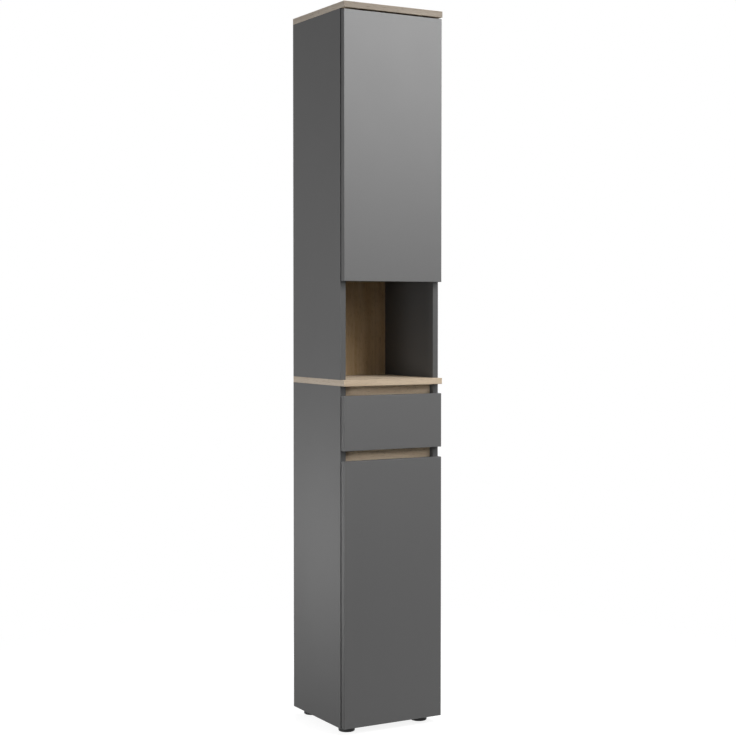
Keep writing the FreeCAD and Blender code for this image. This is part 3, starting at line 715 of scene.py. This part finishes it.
for node in ("upper_door_bumpers", "lower_door_bumpers", "drawer_bumpers"):
    mesh = bmesh.new()
    for points in islandsOf(node):
        low, high = cornersOf(points)
        start = Vector(((low.x + high.x) / 2, low.y, (low.z + high.z) / 2))
        outline = bumperOutline(bumperTurning, (high.x - low.x) / 2, high.y - low.y)
        turnOutline(mesh, outline, start, Vector((0, 1, 0)), bumperTurning["steps"])
    addPiece(node, finishTurned(mesh, node, bumperTurning["crease"]), ["bumperRubber"])
print("bumpers turned")


# Screws and cam locks, instanced on points that carry each fastener's axis and sizes
unitHalf = 0.5  # shapes are made with width and height 1, and their points give the real sizes
fastenerInputs = {"Points": geometryKind, "Sides": countKind, "Rim": valueKind, "Crown": valueKind,
                  "Recess Span": valueKind, "Recess Width": valueKind, "Recess Depth": valueKind,
                  "Seed": countKind, "Material": materialKind}


def readAttribute(tree, name):
    node = addNode(tree, "GeometryNodeInputNamedAttribute", {"Name": name}, data_type="FLOAT_VECTOR")
    return node.outputs["Attribute"]


def liftBy(tree, geometry, height):
    place = addNode(tree, "ShaderNodeCombineXYZ")
    feed(tree, place.inputs["Z"], height)
    node = addNode(tree, "GeometryNodeTransform")
    tree.links.new(geometry, node.inputs["Geometry"])
    tree.links.new(place.outputs[0], node.inputs["Translation"])
    return node.outputs["Geometry"]


def uniteShapes(tree, shapes):
    node = addNode(tree, "GeometryNodeMeshBoolean", operation="UNION", solver="EXACT")
    for shape in shapes:
        tree.links.new(shape, node.inputs["Mesh 2"])
    return node.outputs["Mesh"]


def carveShape(tree, body, cutter):
    node = addNode(tree, "GeometryNodeMeshBoolean", operation="DIFFERENCE", solver="EXACT")
    tree.links.new(body, node.inputs["Mesh 1"])
    tree.links.new(cutter, node.inputs["Mesh 2"])
    return node.outputs["Mesh"]


def crossCutter(tree, inside):
    # two crossing blades, the lower half of each sunk into the top of the head
    blades = []
    for span, thin in (("X", "Y"), ("Y", "X")):
        size = addNode(tree, "ShaderNodeCombineXYZ")
        tree.links.new(inside.outputs["Recess Span"], size.inputs[span])
        tree.links.new(inside.outputs["Recess Width"], size.inputs[thin])
        tree.links.new(scaled(tree, inside.outputs["Recess Depth"], 2.0), size.inputs["Z"])
        blade = addNode(tree, "GeometryNodeMeshCube")
        tree.links.new(size.outputs[0], blade.inputs["Size"])
        blades.append(liftBy(tree, blade.outputs["Mesh"], 1.0))
    return uniteShapes(tree, blades)


def headShape(tree, inside):
    # a straight rim under a coned crown, with a cross recess
    rim = addNode(tree, "GeometryNodeMeshCylinder", {"Radius": unitHalf})
    crown = addNode(tree, "GeometryNodeMeshCone", {"Radius Bottom": unitHalf})
    for shape in (rim, crown):
        tree.links.new(inside.outputs["Sides"], shape.inputs["Vertices"])
    tree.links.new(inside.outputs["Rim"], rim.inputs["Depth"])
    tree.links.new(inside.outputs["Crown"], crown.inputs["Radius Top"])
    tree.links.new(addMath(tree, "SUBTRACT", 1.0, inside.outputs["Rim"]), crown.inputs["Depth"])
    lower = liftBy(tree, rim.outputs["Mesh"], scaled(tree, inside.outputs["Rim"], unitHalf))
    upper = liftBy(tree, crown.outputs["Mesh"], inside.outputs["Rim"])
    return carveShape(tree, uniteShapes(tree, (lower, upper)), crossCutter(tree, inside))


def shankShape(tree, inside):
    shank = addNode(tree, "GeometryNodeMeshCylinder", {"Radius": unitHalf, "Depth": 1.0})
    tree.links.new(inside.outputs["Sides"], shank.inputs["Vertices"])
    return liftBy(tree, shank.outputs["Mesh"], -unitHalf)


def placeOnPoints(tree, inside, shape, sizeName):
    align = addNode(tree, "FunctionNodeAlignRotationToVector", axis="Z")
    tree.links.new(readAttribute(tree, "axis"), align.inputs["Vector"])
    turn = addNode(tree, "FunctionNodeRandomValue", data_type="FLOAT")
    turn.inputs[randomPlaces["most"]].default_value = 2 * math.pi
    tree.links.new(inside.outputs["Seed"], turn.inputs["Seed"])
    twist = addNode(tree, "FunctionNodeAxisAngleToRotation", {"Axis": (0.0, 0.0, 1.0)})
    tree.links.new(turn.outputs[randomPlaces["value"]], twist.inputs["Angle"])
    rotate = addNode(tree, "FunctionNodeRotateRotation", rotation_space="LOCAL")
    tree.links.new(align.outputs["Rotation"], rotate.inputs["Rotation"])
    tree.links.new(twist.outputs["Rotation"], rotate.inputs["Rotate By"])
    place = addNode(tree, "GeometryNodeInstanceOnPoints")
    tree.links.new(inside.outputs["Points"], place.inputs["Points"])
    tree.links.new(shape, place.inputs["Instance"])
    tree.links.new(rotate.outputs["Rotation"], place.inputs["Rotation"])
    tree.links.new(readAttribute(tree, sizeName), place.inputs["Scale"])
    return place.outputs["Instances"]


def buildFastenerTree(name, shapeOfSize):
    tree, inside, outside = newTree("GeometryNodeTree", name, fastenerInputs, {"Mesh": geometryKind})
    joined = addNode(tree, "GeometryNodeJoinGeometry")
    for sizeName, makeShape in shapeOfSize.items():
        placed = placeOnPoints(tree, inside, makeShape(tree, inside), sizeName)
        tree.links.new(placed, joined.inputs["Geometry"])
    real = addNode(tree, "GeometryNodeRealizeInstances")
    paint = addNode(tree, "GeometryNodeSetMaterial")
    tree.links.new(joined.outputs["Geometry"], real.inputs["Geometry"])
    tree.links.new(real.outputs["Geometry"], paint.inputs["Geometry"])
    tree.links.new(inside.outputs["Material"], paint.inputs["Material"])
    tree.links.new(paint.outputs["Geometry"], outside.inputs["Mesh"])
    return tree


def growFasteners(node, tree, facts, look, settings):
    points = bpy.data.meshes.new(pieceName(node) + "Points")
    points.from_pydata([fact["seat"] for fact in facts], [], [])
    for name in ("axis", "headSize", "shankSize"):
        values = points.attributes.new(name, "FLOAT_VECTOR", "POINT")
        values.data.foreach_set("vector", [number for fact in facts for number in fact[name]])
    holder = bpy.data.objects.new(pieceName(node) + "Points", points)
    bpy.context.scene.collection.objects.link(holder)
    modifier = holder.modifiers.new("grow", "NODES")
    modifier.node_group = tree
    sockets = {item.name: item.identifier for item in tree.interface.items_tree if item.in_out == "INPUT"}
    for name, value in {**settings, "Material": materials[look]}.items():
        modifier[sockets[name]] = value
    ready = holder.evaluated_get(bpy.context.evaluated_depsgraph_get())
    mesh = bpy.data.meshes.new_from_object(ready)
    mesh.name = pieceName(node)
    mesh.materials.clear()  # the tree leaves an empty slot before its material
    holder.modifiers.clear()
    bpy.data.objects.remove(holder)
    addPiece(node, mesh, [look])


screwSettings = {"Sides": 32, "Rim": 0.4, "Crown": 0.36, "Recess Span": 0.56, "Recess Width": 0.12,
                 "Recess Depth": 0.6, "Seed": 7}
screwLimits = {"headShare": 0.95, "touch": 1e-6}  # share of the widest radius that is head; metres


def screwFacts(points):
    low, high = cornersOf(points)
    size = high - low
    along = max(range(3), key=lambda index: size[index])
    centre = (low + high) / 2

    def distance(point):
        return math.sqrt(sum((point[index] - centre[index]) ** 2 for index in range(3) if index != along))

    widest = max(distance(point) for point in points)
    edge = screwLimits["headShare"] * widest
    head = [point[along] for point in points if distance(point) > edge]
    shank = max(distance(point) for point in points if distance(point) < edge)
    outward = 1.0 if max(head) > high[along] - screwLimits["touch"] else -1.0
    tall = max(head) - min(head)
    seat = centre.copy()  # under the head
    seat[along] = min(head) if outward > 0 else max(head)
    axis = Vector((0, 0, 0))
    axis[along] = outward
    return {"seat": seat, "axis": axis, "headSize": (2 * widest, 2 * widest, tall),
            "shankSize": (2 * shank, 2 * shank, size[along] - tall)}


screwTree = buildFastenerTree("screwTree", {"headSize": headShape, "shankSize": shankShape})
for node in ("foot_screws", "bracket_screws", "hinge_arm_screws", "hinge_plate_screws",
             "upper_door_cup_screws", "lower_door_cup_screws", "drawer_screws", "runner_screws"):
    facts = [screwFacts(points) for points in islandsOf(node)]
    growFasteners(node, screwTree, facts, "screwZinc", screwSettings)
print("screws grown")

camSettings = {"Sides": 40, "Rim": 0.94, "Crown": 0.46, "Recess Span": 0.62, "Recess Width": 0.16,
               "Recess Depth": 0.3, "Seed": 11}


def camMouth(seat, along):
    # locks open downwards in the bottom panel, upwards in other flat boards and inwards in upright ones
    if along == 2:
        return -1.0 if seat.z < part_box("bottom_panel")[1].z else 1.0
    return -math.copysign(1.0, seat.x)


def camFacts(points):
    low, high = cornersOf(points)
    size = high - low
    along = min(range(3), key=lambda index: size[index])
    seat = (low + high) / 2
    outward = camMouth(seat, along)
    seat[along] = low[along] if outward > 0 else high[along]
    axis = Vector((0, 0, 0))
    axis[along] = outward
    across = max(size)
    return {"seat": seat, "axis": axis, "headSize": (across, across, size[along]),
            "shankSize": (1.0, 1.0, 1.0)}  # a lock has no shank


camTree = buildFastenerTree("camLockTree", {"headSize": headShape})
for node in ("cam_locks", "drawer_cam_locks"):
    facts = [camFacts(points) for points in islandsOf(node)]
    growFasteners(node, camTree, facts, "castZinc", camSettings)
print("cam locks grown")

# Small fittings that keep their own shape
keptLooks = {"shelf_pins": "screwZinc", "cam_bolts": "screwZinc", "drawer_cam_bolts": "screwZinc",
             "upper_door_hinge_pins": "screwZinc", "lower_door_hinge_pins": "screwZinc",
             "dowels": "beechDowel"}
for node, look in keptLooks.items():
    for slot in nodes[node].material_slots:
        slot.material = materials[look]
print("kept fittings painted:", len(keptLooks))


# Stage: white floor and surroundings, soft lamps, camera
pureWhite = (1.0, 1.0, 1.0, 1.0)


def straightRays(tree):
    # 1 for what the eye, a mirror or glass sees
    path = addNode(tree, "ShaderNodeLightPath")
    shown = summed(tree, path.outputs["Is Camera Ray"], path.outputs["Is Glossy Ray"], clamp=True)
    return summed(tree, shown, path.outputs["Is Transmission Ray"], clamp=True)


def mixShaders(tree, factor, first, second):
    node = addNode(tree, "ShaderNodeMixShader")
    for socket, source in zip(node.inputs, (factor, first, second)):
        tree.links.new(source, socket)
    return node.outputs[0]


floorLook = {"half": 14.0, "bounce": (0.12, 0.12, 0.12, 1.0), "shadowed": (0.3, 0.3, 0.3, 1.0), "glow": 0.88,
             "fade": (0.5, 1.6)}  # metres from the middle over which the shadow fades to white


def makeFloorMaterial(look):
    material = bpy.data.materials.new("studioFloor")
    material.use_nodes = True
    tree = material.node_tree
    tree.nodes.clear()
    matt = addNode(tree, "ShaderNodeBsdfDiffuse", {"Color": look["bounce"]})
    seen = addNode(tree, "ShaderNodeBsdfDiffuse", {"Color": look["shadowed"]})
    glow = addNode(tree, "ShaderNodeEmission", {"Color": pureWhite, "Strength": look["glow"]})
    far = addNode(tree, "ShaderNodeEmission", {"Color": pureWhite, "Strength": 1.0})
    lit = addNode(tree, "ShaderNodeAddShader")
    place = addNode(tree, "ShaderNodeTexCoord")
    away = addNode(tree, "ShaderNodeVectorMath", operation="LENGTH")
    output = addNode(tree, "ShaderNodeOutputMaterial")
    tree.links.new(seen.outputs[0], lit.inputs[0])
    tree.links.new(glow.outputs[0], lit.inputs[1])
    tree.links.new(place.outputs["Object"], away.inputs[0])
    fading = addRange(tree, away.outputs["Value"], *look["fade"])
    faded = mixShaders(tree, fading, lit.outputs[0], far.outputs[0])
    whole = mixShaders(tree, straightRays(tree), matt.outputs[0], faded)
    tree.links.new(whole, output.inputs["Surface"])
    return material


floorMesh = bpy.data.meshes.new("studioFloor")
half = floorLook["half"]
floorCorners = [(-half, -half, 0), (half, -half, 0), (half, half, 0), (-half, half, 0)]
floorMesh.from_pydata(floorCorners, [], [(0, 1, 2, 3)])
floorMesh.materials.append(makeFloorMaterial(floorLook))
studioFloor = bpy.data.objects.new("studioFloor", floorMesh)
bpy.context.scene.collection.objects.link(studioFloor)
studioFloor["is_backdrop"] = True

worldLook = {"strength": 0.1}
world = bpy.data.worlds.new("studioWorld")
bpy.context.scene.world = world
world.use_nodes = True
sky = world.node_tree
sky.nodes.clear()
ambient = addNode(sky, "ShaderNodeBackground", {"Color": pureWhite, "Strength": worldLook["strength"]})
white = addNode(sky, "ShaderNodeBackground", {"Color": pureWhite, "Strength": 1.0})
skyOut = addNode(sky, "ShaderNodeOutputWorld")
surroundings = mixShaders(sky, straightRays(sky), ambient.outputs[0], white.outputs[0])
sky.links.new(surroundings, skyOut.inputs["Surface"])

lamps = {
    "keyRight": {"at": (1.9, -3.2, 2.2), "aim": (0.0, -0.14, 1.5), "size": (2.0, 0.8), "watts": 33.0},
    "keyHigh": {"at": (1.3, -2.3, 2.9), "aim": (0.0, -0.14, 1.5), "size": (1.6, 1.0), "watts": 36.7},
    "topFront": {"at": (0.5, -1.9, 3.4), "aim": (0.0, -0.14, 1.0), "size": (1.4, 1.0), "watts": 36.0},
    "cameraFill": {"at": (-2.1, -3.6, 1.7), "aim": (0.0, -0.14, 1.0), "size": (1.4, 1.4), "watts": 2.8},
    "leftFill": {"at": (-2.6, 0.2, 0.95), "aim": (-0.15, 0.0, 0.95), "size": (1.2, 1.2), "watts": 34.5},
    "leftFront": {"at": (-1.9, -1.25, 0.95), "aim": (0.0, -0.1, 0.95), "size": (0.8, 0.8), "watts": 0.9,
                  "spread": 50.0},  # into the niche and the grip grooves
    "leftBeam": {"at": (-1.2, 0.0, 0.5), "aim": (-0.15, 0.0, 0.49), "size": (0.4, 0.3), "watts": 0.62,
                 "spread": 52.0},
    "rightFill": {"at": (2.8, 0.7, 1.3), "aim": (0.15, 0.0, 1.0), "size": (1.4, 1.4), "watts": 20.0},
    "backFill": {"at": (1.2, 2.8, 2.2), "aim": (0.0, 0.15, 1.0), "size": (1.6, 1.6), "watts": 45.0},
}
openSpread = 180.0  # degrees, for lamps that name no spread
for name, look in lamps.items():
    data = bpy.data.lights.new(name, "AREA")
    data.shape = "RECTANGLE"
    data.size, data.size_y = look["size"]
    data.energy = look["watts"]
    data.spread = math.radians(look.get("spread", openSpread))
    lamp = bpy.data.objects.new(name, data)
    lamp.location = look["at"]
    lamp.rotation_mode = "QUATERNION"
    lamp.rotation_quaternion = (Vector(look["aim"]) - Vector(look["at"])).to_track_quat("-Z", "Y")
    lamp.visible_camera = False
    bpy.context.scene.collection.objects.link(lamp)

cameraLook = {"at": (-2.0678, -3.6524, 1.1134), "turn": -29.561, "tilt": -1.676, "focalPixels": 1541.8,
              "framePixels": 736.0, "liftPixels": 12.0, "sensor": 36.0}
cameraData = bpy.data.cameras.new("photoCamera")
cameraData.sensor_width = cameraLook["sensor"]
cameraData.lens = cameraLook["focalPixels"] / cameraLook["framePixels"] * cameraLook["sensor"]
cameraData.shift_y = -cameraLook["liftPixels"] / cameraLook["framePixels"]
camera = bpy.data.objects.new("photoCamera", cameraData)
camera.location = cameraLook["at"]
camera.rotation_euler = (math.radians(90 + cameraLook["tilt"]), 0.0, math.radians(cameraLook["turn"]))
bpy.context.scene.collection.objects.link(camera)
bpy.context.scene.camera = camera
bpy.context.scene.view_settings.view_transform = "Standard"
print("stage set")

low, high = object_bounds()
